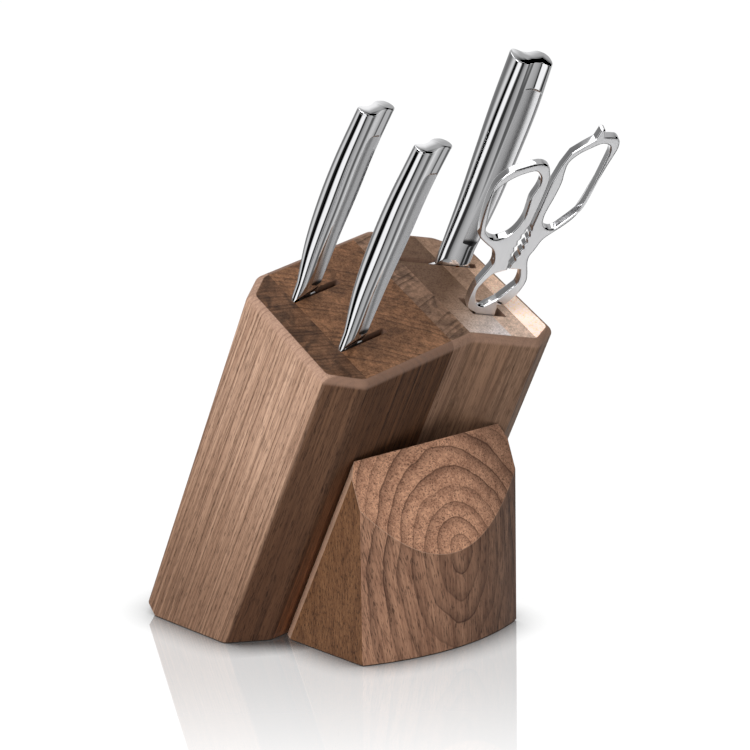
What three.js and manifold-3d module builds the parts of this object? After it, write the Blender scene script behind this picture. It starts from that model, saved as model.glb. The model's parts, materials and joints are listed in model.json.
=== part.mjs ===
// Knife block with three knives and a pair of kitchen shears.
//
// A glued walnut block leans forward on a walnut foot.  Three steel knives and the shears drop
// into slots that run down the length of the block.  Millimetres, +Z up, the foot faces -Y.

import * as THREE from 'three';
import { mergeVertices } from 'three/addons/utils/BufferGeometryUtils.js';
import Module from 'manifold-3d';

const wasm = await Module();
wasm.setup();
const { CrossSection, Manifold, Mesh: ManifoldMesh } = wasm;

const rad = THREE.MathUtils.degToRad;

// ---------------------------------------------------------------- driving dimensions

const gap = 0.3;                 // clearance between pieces that touch

// Block: seen along its length it is a shallow V with every outer corner cut off.
const lean = 27.75;              // forward lean of the block from upright, degrees
const blockLength = 178;         // floor line under the V to the top face
const leftWing = { width: 81.8, sweep: 9.6 };
const rightWing = { width: 36.5, sweep: 24.2 };
const frontCutLeft = { across: 20.2, back: 10.9 };
const frontCutRight = { across: 15.8, back: 8.2 };
const backCut = { across: 15.9, back: 9.7 };
const blockDepth = 90;           // V line to the ridge at the back
const sideTaper = 1.5;           // the sides close in toward the back, degrees
const backTaper = 2;             // the back is a little steeper than the front, degrees
const topRound = 4.3;            // rounded edge of the top face
const heelCut = 6.5;             // blunted edge where the back meets the floor
const groundClear = 0.6;         // the wood stands this far off the floor, on its pads

// Staves: glue lines, measured across the block from the V line.
const glueLines = [-78.6, -14.6, 0, 20.9, 33.3];
const staveNames = ['stave_a', 'stave_b', 'stave_c', 'stave_d', 'stave_e', 'stave_f'];

// Foot: a solid prop with a bowed front, a sloping face and clipped back corners.
const foot = {
  left: -72.7, width: 104.5, sideLength: 56.5, bow: 11.5,
  faceHeight: 81.2, faceSlope: 69.3, backGap: 12.85, clipAcross: 3.9, clipBack: 6.15,
};
const dowel = { radius: 4, length: 34, fromLeft: 26, fromRight: 22, height: 62 };
const pad = { radius: 7, recess: 1.2, inset: 9 };

// Slots.
const knifeKerf = 3.5;
const slotFloor = 7;             // wood left under every slot
const smallSlot = 34.5;          // length of both short slots
const frontSlotBack = 12.9;      // V line back to the front slot, at its glue-line end
const backSlotBack = 52.3;
const chefSlot = 42.4;
const chefSlotBack = 64.1;
const shearSlot = { from: 11.6, to: 28.2, width: 12, frontBack: 15.15 };

// Knives: sizes across start at the spine; heights start at the top of the block.
const bolsterHeight = 11;
const capThick = 1.6;
const tang = { width: 9, thick: 2.4, length: 90 };
const pocket = { from: 13, to: 16, depth: 0.9, width: 8.4 };
const wallAtPocket = 0.8;
const bladeEdge = 0.15;          // half thickness left along the cutting edge
const groundShare = 0.8;         // share of the blade that is ground, from the edge
// Each handle swells and sways: centre, width and thickness at five even steps up from the bolster.
const knives = [
  { name: 'front_knife', handle: 110.7, blade: 125, heel: 19.4, spineInset: 0.4, thick: 1.8,
    at: [8.2, 6.2, 7.1, 9.4, 14.6], width: [18, 22.4, 25.4, 26.4, 26.8],
    depth: [5.8, 9.4, 11.2, 10.8, 10], slant: -0.18 },
  { name: 'back_knife', handle: 105.2, blade: 92, heel: 18.6, spineInset: 0.4, thick: 1.8,
    at: [8.1, 5.8, 5.9, 7.2, 11], width: [18, 22, 24.6, 25.2, 25.4],
    depth: [5.8, 9.4, 11.2, 10.8, 10], slant: -0.16 },
  { name: 'chef_knife', handle: 120.1, blade: 190, heel: 38.4, spineInset: 3.4, thick: 2.2,
    at: [13.4, 12.4, 12.5, 12.9, 13.8], width: [18.5, 21.2, 23.1, 24.2, 22.8],
    depth: [6, 8.3, 10.4, 12.4, 14], slant: 0.08 },
];

// Shears: measured across from the left end of their slot, and up from the block's top face.
const shear = {
  thick: 5.3, offWall: 0.4, bladeLength: 100, bladeWidth: 12.4, tipAcross: 11.6, tipWidth: 2.4,
};
const shoulder = { across: 7.0, down: 2, radius: 6 };
const pivot = { across: 8.2, down: 9.4, radius: 3.2, bossRadius: 7.4, headRadius: 4.6, head: 1.1 };
const halfLap = 16.8;            // around the pivot each half is cut to half its thickness

// ---------------------------------------------------------------- materials

const walnut = new THREE.MeshStandardMaterial({ color: 0x7a5a46, roughness: 0.62 });
const walnutFoot = new THREE.MeshStandardMaterial({ color: 0x80604e, roughness: 0.6 });
const beech = new THREE.MeshStandardMaterial({ color: 0xb99468, roughness: 0.7 });
const rubber = new THREE.MeshStandardMaterial({ color: 0x1f1f1f, roughness: 0.9 });
const polishedSteel = new THREE.MeshStandardMaterial({ color: 0xc9c9cb, roughness: 0.08, metalness: 1 });
const bladeSteel = new THREE.MeshStandardMaterial({ color: 0xbfc0c2, roughness: 0.3, metalness: 1 });
const shearSteel = new THREE.MeshStandardMaterial({ color: 0xc4c4c6, roughness: 0.28, metalness: 1 });

// ---------------------------------------------------------------- solids and helpers

function toSolid(geometry) {
  const plain = new THREE.BufferGeometry();
  plain.setAttribute('position', geometry.getAttribute('position'));
  if (geometry.index) plain.setIndex(geometry.index);
  const welded = mergeVertices(plain, 1e-4);
  const triangles = [];
  for (let i = 0; i < welded.index.count; i += 3) {
    const [a, b, c] = [0, 1, 2].map((k) => welded.index.getX(i + k));
    if (a !== b && b !== c && c !== a) triangles.push(a, b, c);
  }
  const mesh = new ManifoldMesh({
    numProp: 3,
    vertProperties: new Float32Array(welded.getAttribute('position').array),
    triVerts: new Uint32Array(triangles),
  });
  mesh.merge();
  return new Manifold(mesh);
}

function toGeometry(solid) {
  const mesh = solid.getMesh();
  const positions = new Float32Array(mesh.numVert * 3);
  for (let i = 0; i < mesh.numVert; i += 1) {
    for (let k = 0; k < 3; k += 1) positions[3 * i + k] = mesh.vertProperties[i * mesh.numProp + k];
  }
  const geometry = new THREE.BufferGeometry();
  geometry.setAttribute('position', new THREE.BufferAttribute(positions, 3));
  geometry.setIndex(new THREE.BufferAttribute(new Uint32Array(mesh.triVerts), 1));
  geometry.computeVertexNormals();
  return geometry;
}

function named(name, solid, material) {
  const mesh = new THREE.Mesh(toGeometry(solid), material);
  mesh.name = name;
  return mesh;
}

// Closed solid through a stack of rings that all have the same number of points.
function loft(rings) {
  const count = rings[0].length;
  const positions = [];
  for (const ring of rings) {
    for (const p of ring) positions.push(p.x, p.y, p.z);
  }
  const index = [];
  for (let r = 0; r + 1 < rings.length; r += 1) {
    for (let i = 0; i < count; i += 1) {
      const a = r * count + i;
      const b = r * count + ((i + 1) % count);
      index.push(a, b, b + count, a, b + count, a + count);
    }
  }
  const capTriangles = (ring) => THREE.ShapeUtils.triangulateShape(
    ring.map((p) => new THREE.Vector2(p.x, p.y)), []);
  for (const [a, b, c] of capTriangles(rings[0])) index.push(a, c, b);
  const last = (rings.length - 1) * count;
  for (const [a, b, c] of capTriangles(rings.at(-1))) index.push(last + a, last + b, last + c);
  const geometry = new THREE.BufferGeometry();
  geometry.setAttribute('position', new THREE.Float32BufferAttribute(positions, 3));
  geometry.setIndex(index);
  return toSolid(geometry);
}

// A flat outline drawn across and up, given a thickness from front to back.
function plate(shape, front, back, segments = 8) {
  const { shape: outline, holes } = shape.extractPoints(segments);
  const rings = [outline, ...holes].map((ring) => ring.map((p) => [p.x, p.y]));
  return new CrossSection(rings, 'EvenOdd').extrude(back - front)
    .rotate([90, 0, 0]).translate([0, back, 0]);
}

function box(x0, x1, y0, y1, z0, z1) {
  const geometry = new THREE.BoxGeometry(x1 - x0, y1 - y0, z1 - z0);
  geometry.translate((x0 + x1) / 2, (y0 + y1) / 2, (z0 + z1) / 2);
  return toSolid(geometry);
}

// ---------------------------------------------------------------- block plan

const meet = (p, d, q, e) => {
  const cross = d.x * e.y - d.y * e.x;
  const t = ((q.x - p.x) * e.y - (q.y - p.y) * e.x) / cross;
  return new THREE.Vector2(p.x + d.x * t, p.y + d.y * t);
};

// The plan is in the block's own axes: x across, y to the back, z along the block.
const leftRun = new THREE.Vector2(-Math.cos(rad(leftWing.sweep)), -Math.sin(rad(leftWing.sweep)));
const rightRun = new THREE.Vector2(Math.cos(rad(rightWing.sweep)), -Math.sin(rad(rightWing.sweep)));

function blockPlan(height) {
  const forward = (blockLength - height) * Math.tan(rad(backTaper));
  const valley = new THREE.Vector2(0, 0);
  const leftEnd = leftRun.clone().multiplyScalar(leftWing.width);
  const leftSide = leftEnd.clone().add(new THREE.Vector2(-frontCutLeft.across, frontCutLeft.back));
  const rightEnd = rightRun.clone().multiplyScalar(rightWing.width);
  const rightSide = rightEnd.clone()
    .add(new THREE.Vector2(frontCutRight.across, frontCutRight.back));
  const ridge = new THREE.Vector2(0, blockDepth - forward);
  const inward = Math.tan(rad(sideTaper));
  const leftCorner = meet(leftSide, new THREE.Vector2(inward, 1), ridge, leftRun);
  const rightCorner = meet(rightSide, new THREE.Vector2(-inward, 1), ridge, rightRun);
  return [
    valley, leftEnd, leftSide,
    leftCorner.clone().add(new THREE.Vector2(-inward, -1).multiplyScalar(backCut.back)),
    leftCorner.clone().addScaledVector(leftRun, -backCut.across),
    ridge,
    rightCorner.clone().addScaledVector(rightRun, -backCut.across),
    rightCorner.clone().add(new THREE.Vector2(inward, -1).multiplyScalar(backCut.back)),
    rightSide, rightEnd,
  ].reverse();
}

function inset(outline, distance) {
  return outline.map((point, i) => {
    const before = outline.at(i - 1);
    const after = outline[(i + 1) % outline.length];
    const d = point.clone().sub(before).normalize();
    const e = after.clone().sub(point).normalize();
    const p = before.clone().add(new THREE.Vector2(-d.y, d.x).multiplyScalar(distance));
    const q = point.clone().add(new THREE.Vector2(-e.y, e.x).multiplyScalar(distance));
    return meet(p, d, q, e);
  });
}

const floorNormal = [0, Math.sin(rad(lean)), Math.cos(rad(lean))];

function blockSolid() {
  const ring = (height, shrink) => inset(blockPlan(height), shrink)
    .map((p) => new THREE.Vector3(p.x, p.y, height));
  const rings = [ring(-blockDepth, 0)];
  const steps = 4;
  for (let i = 0; i <= steps; i += 1) {
    const angle = (i / steps) * (Math.PI / 2);
    rings.push(ring(blockLength - topRound + topRound * Math.sin(angle),
      topRound * (1 - Math.cos(angle))));
  }
  let solid = loft(rings).trimByPlane(floorNormal, groundClear);
  for (const { normal, offset } of heelPlanes()) solid = solid.trimByPlane(normal, offset);
  return solid;
}

// The sharp edges where the back and its cut corners meet the floor are planed off.
function heelPlanes() {
  const up = new THREE.Vector3(...floorNormal);
  const onFloor = (p) => new THREE.Vector3(p.x, p.y, -p.y * Math.tan(rad(lean)));
  const plan = blockPlan(-blockDepth * Math.tan(rad(lean)) * 0.8);
  return [2, 3, 4, 5].map((i) => {
    const from = onFloor(plan[i]);
    const along = onFloor(plan[i + 1]).sub(from).normalize();
    const inward = up.clone().cross(along);
    const face = new THREE.Vector3(along.y, -along.x, 0).normalize();
    const normal = up.clone().sub(face).normalize();
    return { normal: normal.toArray(), offset: normal.dot(from.addScaledVector(inward, heelCut)) };
  });
}

// ---------------------------------------------------------------- slots

const slotTop = blockLength + 1;
const slotBottom = -blockDepth;

// Each slot has its own axes: origin at one end of the slot on the top face, x along the slot.
function slotFrame(x, back, turn) {
  const frame = new THREE.Group();
  frame.position.set(x, back, blockLength);
  frame.rotation.z = turn;
  frame.updateMatrix();
  return frame;
}

const smallTurn = rad(leftWing.sweep);
const chefTurn = -rad(rightWing.sweep);
const slotAt = {
  front_knife: slotFrame(glueLines[0] + gap / 2, frontSlotBack, smallTurn),
  back_knife: slotFrame(glueLines[0] + gap / 2, backSlotBack, smallTurn),
  chef_knife: slotFrame(glueLines[2] + gap / 2, chefSlotBack, chefTurn),
};

function kerf(frame, length) {
  const solid = box(-gap * 4, length, -knifeKerf / 2, knifeKerf / 2,
    slotBottom - blockLength, slotTop - blockLength);
  return solid.transform(frame.matrix.elements).trimByPlane(floorNormal, slotFloor);
}

// The shears' slot follows the chef's slot, with its ends along the glue lines.
function shearSlotSolid() {
  const slope = Math.tan(chefTurn);
  const depth = shearSlot.width / Math.cos(chefTurn);
  const corner = (x, y) => new THREE.Vector2(x, y + slope * (x - shearSlot.from));
  const shape = new THREE.Shape([
    corner(shearSlot.from, shearSlot.frontBack), corner(shearSlot.to, shearSlot.frontBack),
    corner(shearSlot.to, shearSlot.frontBack + depth),
    corner(shearSlot.from, shearSlot.frontBack + depth),
  ]);
  const geometry = new THREE.ExtrudeGeometry(shape, {
    depth: slotTop - slotBottom, bevelEnabled: false,
  });
  geometry.translate(0, 0, slotBottom);
  return toSolid(geometry).trimByPlane(floorNormal, slotFloor);
}

// ---------------------------------------------------------------- the knives

// Half thickness of the handle from the spine (0) to the belly (1) on its front face: a full
// lobe beside the spine, then a flute.  The back face is the same, turned end for end.
const lobeAndFlute = new THREE.SplineCurve([
  [0, 0], [0.02, 0.42], [0.1, 0.84], [0.24, 1], [0.36, 0.93], [0.52, 0.62], [0.7, 0.5],
  [0.83, 0.64], [0.92, 0.66], [0.985, 0.36], [1, 0],
].map(([x, y]) => new THREE.Vector2(x, y)));

function handleRing(at, width, thick, height, slant) {
  const side = lobeAndFlute.getPoints(18);
  side.pop();
  const across = at - width / 2;
  const front = side.map((p) => [across + p.x * width, -p.y * thick / 2]);
  const back = side.map((p) => [across + (1 - p.x) * width, p.y * thick / 2]);
  return [...front, ...back].map(([x, y]) => new THREE.Vector3(x, y, height + slant * (x - at)));
}

// A smooth run through values spread evenly over the handle's length.
function through(values, share) {
  const before = 2 * values[0] - values[1];
  const after = 2 * values.at(-1) - values.at(-2);
  const run = [before, ...values, after].map((value, i) => new THREE.Vector2(i, value));
  const spans = values.length - 1;
  return new THREE.SplineCurve(run).getPoint((share * spans + 1) / (spans + 2)).y;
}

function handleSize(knife, share) {
  return [knife.at, knife.width, knife.depth].map((values) => through(values, share));
}

function handleLoft(knife, from, to, steps, slantTop) {
  const rings = [];
  for (let i = 0; i <= steps; i += 1) {
    const height = from + ((to - from) * i) / steps;
    const share = (height - bolsterHeight) / knife.handle;
    const [at, width, thick] = handleSize(knife, share);
    rings.push(handleRing(at, width, thick, height, i === steps ? slantTop : 0));
  }
  return loft(rings);
}

function pocketCut(knife, side) {
  const bottom = bolsterHeight + pocket.from;
  const top = bolsterHeight + knife.handle - pocket.to;
  const place = (height) => handleSize(knife, (height - bolsterHeight) / knife.handle);
  const aside = side < 0 ? 0.2 : -0.2;
  const low = place(bottom);
  const high = place(top);
  const lowAt = low[0] + low[1] * aside;
  const highAt = high[0] + high[1] * aside;
  const half = pocket.width / 2;
  const shape = new THREE.Shape();
  shape.moveTo(lowAt - half * 0.7, bottom);
  shape.quadraticCurveTo(lowAt, bottom - half * 1.4, lowAt + half * 0.7, bottom);
  shape.lineTo(highAt + half, top);
  shape.quadraticCurveTo(highAt, top + half * 1.2, highAt - half, top);
  const middle = place((bottom + top) / 2);
  const floor = Math.max(tang.thick / 2 + wallAtPocket, middle[2] * 0.25 - pocket.depth);
  const outer = middle[2];
  return side < 0 ? plate(shape, -outer, -floor, 6) : plate(shape, floor, outer, 6);
}

function bladeShape(knife, tangAt) {
  const spine = knife.spineInset;
  const edge = knife.spineInset + knife.heel;
  const half = tang.width / 2;
  const shape = new THREE.Shape();
  shape.moveTo(spine, -gap);
  shape.lineTo(tangAt - half, -gap);
  shape.lineTo(tangAt - half, tang.length);
  shape.lineTo(tangAt + half, tang.length);
  shape.lineTo(tangAt + half, -gap);
  shape.lineTo(edge, -gap);
  shape.lineTo(edge, -knife.blade * 0.35);
  shape.quadraticCurveTo(edge - 0.5, -knife.blade * 0.8, spine + knife.heel * 0.18, -knife.blade);
  shape.quadraticCurveTo(spine, -knife.blade * 0.86, spine, -knife.blade * 0.7);
  return shape;
}

function buildKnife(knife) {
  const { name } = knife;
  const group = new THREE.Group();
  const top = bolsterHeight + knife.handle;
  const [tangAt] = handleSize(knife, 0);

  // Blade with its tang, ground from the spine to the edge.
  const grind = Math.atan((knife.thick / 2 - bladeEdge) / (knife.heel * groundShare));
  const edge = knife.spineInset + knife.heel;
  let blade = plate(bladeShape(knife, tangAt), -knife.thick / 2, knife.thick / 2, 6);
  for (const side of [-1, 1]) {
    blade = blade.trimByPlane([-Math.sin(grind), side * Math.cos(grind), 0],
      -edge * Math.sin(grind) - bladeEdge * Math.cos(grind));
  }
  group.add(named(`${name}_blade`, blade, bladeSteel));

  const tangSlot = box(tangAt - tang.width / 2 - gap, tangAt + tang.width / 2 + gap,
    -tang.thick / 2, tang.thick / 2, -bolsterHeight, tang.length + gap);

  // Bolster: from the handle's section to a thin lip over the blade's heel.
  const [at, width, thick] = handleSize(knife, 0);
  const lip = Math.min(knife.heel, width + 3);
  const lipAt = knife.spineInset + lip / 2;
  const bolsterRings = [
    handleRing(lipAt, lip, knife.thick + 0.8, 0, 0),
    handleRing((lipAt * 3 + at) / 4, (lip * 3 + width) / 4, thick * 0.66, bolsterHeight * 0.28, 0),
    handleRing((lipAt + at) / 2, (lip + width) / 2, thick * 0.9, bolsterHeight * 0.6, 0),
    handleRing(at, width, thick, bolsterHeight - gap, 0),
  ];
  group.add(named(`${name}_bolster`, loft(bolsterRings).subtract(tangSlot), polishedSteel));

  // Handle with a sunk panel in each flute, bored for the tang.
  const { slant } = knife;
  const handle = handleLoft(knife, bolsterHeight, top - capThick, 12, slant)
    .subtract(tangSlot)
    .subtract(pocketCut(knife, -1))
    .subtract(pocketCut(knife, 1));
  group.add(named(`${name}_handle`, handle, polishedSteel));

  // Butt cap, slightly domed.
  const [capAt, capWidth, capThickness] = handleSize(knife, 1);
  const cap = loft([
    handleRing(capAt, capWidth, capThickness, top - capThick + gap, slant),
    handleRing(capAt, capWidth, capThickness, top - capThick * 0.3, slant),
    handleRing(capAt, capWidth - 1.4, capThickness - 1.4, top, slant),
  ]);
  group.add(named(`${name}_cap`, cap, polishedSteel));
  return group;
}

// ---------------------------------------------------------------- the shears

const shearLeftOuter = [
  [11.9, 90], [9.6, 94], [4.5, 95.3], [-5, 90.8], [-11.6, 85], [-14.4, 77], [-14.4, 65],
  [-13.2, 52], [-10.6, 46.2], [-4, 42.2], [-0.6, 37.6], [0.2, 31], [-2.2, 23.6], [-4.6, 15],
  [-4.9, 8], [-3, 3.2], [1.1, 0.3],
];
const shearLeftHole = [
  [4, 90], [7.6, 87.4], [8.4, 82], [7, 74], [7.4, 62], [5.4, 53.4], [0, 47.8], [-5.6, 47.4],
  [-9.4, 51.4], [-11, 60], [-11.9, 72], [-9.6, 80.6], [-3.6, 86.8],
];
const shearLeftArm = [
  [6.4, 6.4], [2.4, 5.6], [-0.4, 8.6], [-1.6, 13.6], [-0.2, 19.6], [4.4, 26.4], [9.4, 28.8],
];
const shearRightOuter = [
  [32.4, 115.4], [36.4, 116], [40, 114.6], [41.5, 109], [39.4, 96], [37, 80], [34.8, 69],
  [29.6, 59.4], [22.4, 50.4], [19, 41.6], [18.8, 34], [21.6, 25], [20.4, 16], [15.9, 7],
];
const shearRightHole = [
  [33.4, 111], [37.2, 108.6], [37.2, 98], [35.6, 80], [34, 70.4], [29.6, 63], [24.4, 57.4],
  [20.4, 57.8], [18, 63.4], [19.4, 76], [19.6, 91], [20.4, 99.6], [26, 106.4],
];
const thumbTab = [
  [28.9, 118.4], [30, 119.8], [31.4, 119.3], [32.2, 116.6],
];
const shearRightArm = [
  [10, 9.6], [14.6, 16], [17, 22], [15.8, 29.8],
];

// Toothed edge of the nut cracker: the teeth grow toward the middle of the jaw.
const toothDepth = 0.35;
function jaw(side, from, to, teeth, reach) {
  const points = [];
  for (let i = 0; i <= teeth * 2; i += 1) {
    const share = i / (teeth * 2);
    const height = from[1] + (to[1] - from[1]) * share;
    const line = from[0] + (to[0] - from[0]) * share;
    const tooth = i % 2 ? toothDepth : -toothDepth;
    points.push([line + side * (reach + tooth) * Math.sin(Math.PI * share), height]);
  }
  return points;
}

const curved = (points) => new THREE.SplineCurve(points.map(([x, y]) => new THREE.Vector2(x, y)))
  .getPoints(points.length * 2);
const straight = (points) => points.map(([x, y]) => new THREE.Vector2(x, y));

function shearHalf(outline, hole) {
  const shape = new THREE.Shape(outline);
  const loop = hole.map(([x, y]) => new THREE.Vector2(x, y));
  loop.push(loop[0].clone());
  const around = new THREE.SplineCurve(loop).getPoints(hole.length * 2).slice(0, -1);
  shape.holes.push(new THREE.Path(around));
  return shape;
}

// Each blade tapers on its outer side and is straight along its cutting edge.
function shearBlade(side) {
  const tip = -pivot.down - shear.bladeLength;
  const root = -pivot.down;
  const half = shear.bladeWidth / 2;
  const tipHalf = shear.tipWidth / 2;
  const shape = new THREE.Shape();
  shape.moveTo(pivot.across - half, root);
  shape.lineTo(pivot.across + half, root);
  if (side > 0) {
    shape.lineTo(shear.tipAcross + tipHalf, tip + tipHalf * 2);
    shape.lineTo(shear.tipAcross, tip);
    shape.lineTo(shear.tipAcross - tipHalf, tip + tipHalf * 2);
    shape.lineTo(pivot.across - half * 0.6, root - pivot.bossRadius - 6);
  } else {
    shape.lineTo(pivot.across + half * 0.6, root - pivot.bossRadius - 6);
    shape.lineTo(shear.tipAcross + tipHalf, tip + tipHalf * 2);
    shape.lineTo(shear.tipAcross, tip);
    shape.lineTo(shear.tipAcross - tipHalf, tip + tipHalf * 2);
  }
  return shape;
}

function disc(radius, front, back, centre = pivot) {
  const shape = new THREE.Shape();
  shape.absarc(centre.across, -centre.down, radius, 0, 2 * Math.PI);
  return plate(shape, front, back, 32);
}

function buildShears() {
  const group = new THREE.Group();
  const front = -shear.thick / 2;
  const back = shear.thick / 2;
  const jawLow = [9.5, 29.6];
  const jawHigh = [12.3, 58.4];

  const hole = disc(pivot.radius, front - 1, back + 1);
  const bossLow = -pivot.down + 2;

  // Left handle, on the front at the pivot.
  const leftOutline = [
    ...curved(shearLeftOuter), ...straight([[1.1, bossLow], [15.2, bossLow], [12.4, -3], [6.4, 4.6]]),
    ...curved(shearLeftArm), ...straight(jaw(-1, jawLow, jawHigh, 6, 1.7)),
    ...straight([[12.9, 70], [13, 84]]),
  ];
  const left = plate(shearHalf(leftOutline, shearLeftHole), front, back, 4)
    .subtract(disc(halfLap, -gap / 2, back + 1))
    .add(disc(shoulder.radius, front, -gap / 2, shoulder))
    .add(disc(pivot.bossRadius, front, -gap / 2))
    .add(plate(shearBlade(1), front, -gap / 2, 6))
    .subtract(hole)
    .subtract(disc(pivot.headRadius + gap, front - 1, front + pivot.head + gap));
  group.add(named('shears_left', left, shearSteel));

  // Right handle, behind at the pivot.
  const rightOutline = [
    ...curved(shearRightOuter),
    ...straight([[13.4, 7.3], [11.4, 8.4], [12.2, 4], [12.6, 0], [15, bossLow], [1.4, bossLow]]),
    ...straight([[2.4, 0], [4, 4.6]]),
    ...curved(shearRightArm),
    ...straight(jaw(1, [jawLow[0] + gap, jawLow[1]], [jawHigh[0] + 1, jawHigh[1]], 6, 0.6)),
    ...straight([[14.2, 84], [16, 95], [18.6, 103.6], [23.6, 109], [28, 113.2]]), ...straight(thumbTab),
  ];
  const right = plate(shearHalf(rightOutline, shearRightHole), front, back, 4)
    .subtract(disc(halfLap, front - 1, gap / 2))
    .add(disc(pivot.bossRadius, gap / 2, back))
    .add(plate(shearBlade(-1), gap / 2, back, 6))
    .subtract(hole);
  group.add(named('shears_right', right, shearSteel));

  // Rivet: the head is sunk in the front, the nut stands on the back.
  const post = disc(pivot.radius - gap, front, back)
    .add(disc(pivot.headRadius, front, front + pivot.head));
  group.add(named('shears_pivot', post, polishedSteel));
  group.add(named('shears_nut', disc(pivot.headRadius, back + gap, back + gap + pivot.head), polishedSteel));
  return group;
}

// ---------------------------------------------------------------- foot, dowels and pads

const across = new THREE.Vector3(1, 0, 0);
const forward = new THREE.Vector3(0, -Math.cos(rad(lean)), -Math.sin(rad(lean)));
const toUpright = new THREE.Matrix4().makeRotationX(-rad(lean));
const footRight = foot.left + foot.width;
const clipFront = foot.backGap + foot.clipBack;
const footSideBack = -clipFront / Math.cos(rad(lean));
const footSideFront = footSideBack - foot.sideLength;

function footSolid() {
  const shape = new THREE.Shape();
  shape.moveTo(foot.left, 0);
  shape.lineTo(foot.left, footSideFront);
  shape.quadraticCurveTo(foot.left + foot.width / 2, footSideFront - 2 * foot.bow,
    footRight, footSideFront);
  shape.lineTo(footRight, 0);
  const tall = 2 * foot.faceHeight;
  const geometry = new THREE.ExtrudeGeometry(shape, {
    depth: tall, bevelEnabled: false, curveSegments: 24,
  });
  geometry.translate(0, 0, groundClear);
  const slope = Math.tan(rad(foot.faceSlope));
  const clip = Math.hypot(foot.clipAcross, foot.clipBack);
  const clipNormal = (side) => across.clone().multiplyScalar((side * foot.clipBack) / clip)
    .addScaledVector(forward, foot.clipAcross / clip);
  const clipOffset = (side, x) => (side * foot.clipBack * x + foot.clipAcross * clipFront) / clip;
  return toSolid(geometry)
    .trimByPlane(forward.toArray(), foot.backGap)
    .trimByPlane(clipNormal(1).toArray(), clipOffset(1, foot.left))
    .trimByPlane(clipNormal(-1).toArray(), clipOffset(-1, footRight))
    .trimByPlane([0, slope, -1], (slope * footSideFront - foot.faceHeight)
      / Math.hypot(slope, 1));
}

// Dowels run square through the foot's back into the wings, in the block's axes.
function dowelRod(x, radius, extra) {
  const geometry = new THREE.CylinderGeometry(radius, radius, dowel.length + 2 * extra, 24);
  geometry.translate(x, -foot.backGap + dowel.length * 0.09, dowel.height);
  return toSolid(geometry);
}
const dowels = {
  foot_dowel_left: foot.left + dowel.fromLeft,
  foot_dowel_right: footRight - dowel.fromRight,
};

// Non-slip pads let into the underside.
const floorPlan = blockPlan(0);
const planLeft = Math.min(...floorPlan.map((p) => p.x));
const planRight = Math.max(...floorPlan.map((p) => p.x));
const padEdge = pad.radius + pad.inset / 2;
const pads = {
  pad_front_left: [planLeft + padEdge, padEdge - pad.radius / 2],
  pad_front_right: [planRight - padEdge, padEdge - pad.radius / 2],
  pad_back_left: [planLeft + padEdge, blockDepth * 0.52],
  pad_back_right: [planRight - padEdge, blockDepth * 0.42],
  pad_ridge: [glueLines[1] - padEdge, blockDepth * 0.8],
  pad_foot_left: [foot.left + padEdge + pad.inset, footSideFront + padEdge],
  pad_foot_right: [footRight - padEdge - pad.inset, footSideFront + padEdge],
};
function padDisc([x, y], radius, top) {
  const geometry = new THREE.CylinderGeometry(radius, radius, top, 28);
  geometry.rotateX(Math.PI / 2);
  geometry.translate(x, y, top / 2);
  return toSolid(geometry);
}

// ---------------------------------------------------------------- assembly

const product = new THREE.Group();
product.name = 'knife_block';
const upright = new THREE.Group();
upright.rotation.x = rad(lean);
product.add(upright);

const padHoles = Manifold.union(Object.values(pads)
  .map((spot) => padDisc(spot, pad.radius + gap, groundClear + pad.recess)));
const dowelHoles = Manifold.union(Object.values(dowels)
  .map((x) => dowelRod(x, dowel.radius + gap, gap)));

// Block, cut into staves along the glue lines.
const block = blockSolid().subtract(dowelHoles).subtract(padHoles.transform(toUpright.elements));
const slots = [
  { solid: kerf(slotAt.front_knife, smallSlot), staves: ['stave_b'] },
  { solid: kerf(slotAt.back_knife, smallSlot), staves: ['stave_b'] },
  { solid: kerf(slotAt.chef_knife, chefSlot), staves: ['stave_d', 'stave_e', 'stave_f'] },
  { solid: shearSlotSolid(), staves: ['stave_d', 'stave_e'] },
];
staveNames.forEach((name, i) => {
  let stave = block;
  if (i > 0) stave = stave.trimByPlane([1, 0, 0], glueLines[i - 1] + gap / 2);
  if (i < glueLines.length) stave = stave.trimByPlane([-1, 0, 0], -glueLines[i] + gap / 2);
  for (const slot of slots) {
    if (slot.staves.includes(name)) stave = stave.subtract(slot.solid);
  }
  upright.add(named(name, stave, walnut));
});

// Foot.
const toWorld = new THREE.Matrix4().makeRotationX(rad(lean));
product.add(named('foot',
  footSolid().subtract(padHoles).subtract(dowelHoles.transform(toWorld.elements)), walnutFoot));
for (const [name, x] of Object.entries(dowels)) {
  upright.add(named(name, dowelRod(x, dowel.radius, 0), beech));
}
for (const [name, spot] of Object.entries(pads)) {
  product.add(named(name, padDisc(spot, pad.radius, groundClear + pad.recess - gap), rubber));
}

// Knives: the small ones have the spine at the left end of the slot, the large one at the right.
for (const knife of knives) {
  const frame = slotAt[knife.name];
  const group = buildKnife(knife);
  group.position.copy(frame.position);
  group.rotation.z = frame.rotation.z;
  if (knife.name === 'chef_knife') {
    group.position.x += chefSlot * Math.cos(chefTurn);
    group.position.y += chefSlot * Math.sin(chefTurn);
    group.rotation.z += Math.PI;
  }
  upright.add(group);
}

// Shears: they lean on the front wall of their slot.
const shears = buildShears();
const shearBack = shearSlot.frontBack + (shear.offWall + shear.thick / 2) / Math.cos(chefTurn);
shears.position.set(shearSlot.from + 0.75, shearBack + 0.75 * Math.tan(chefTurn), blockLength);
shears.rotation.z = chefTurn;
upright.add(shears);

// Stand the origin under the middle of the part.
const bounds = new THREE.Box3().setFromObject(product, true);
product.position.set(-(bounds.min.x + bounds.max.x) / 2, -(bounds.min.y + bounds.max.y) / 2, 0);

export default product;
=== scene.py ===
# Knife block with three steel knives and kitchen shears: a glued walnut block that leans forward
# on a bowed foot, with the knives and the shears standing in slots cut along the block.
import json
import math
import random

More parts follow.
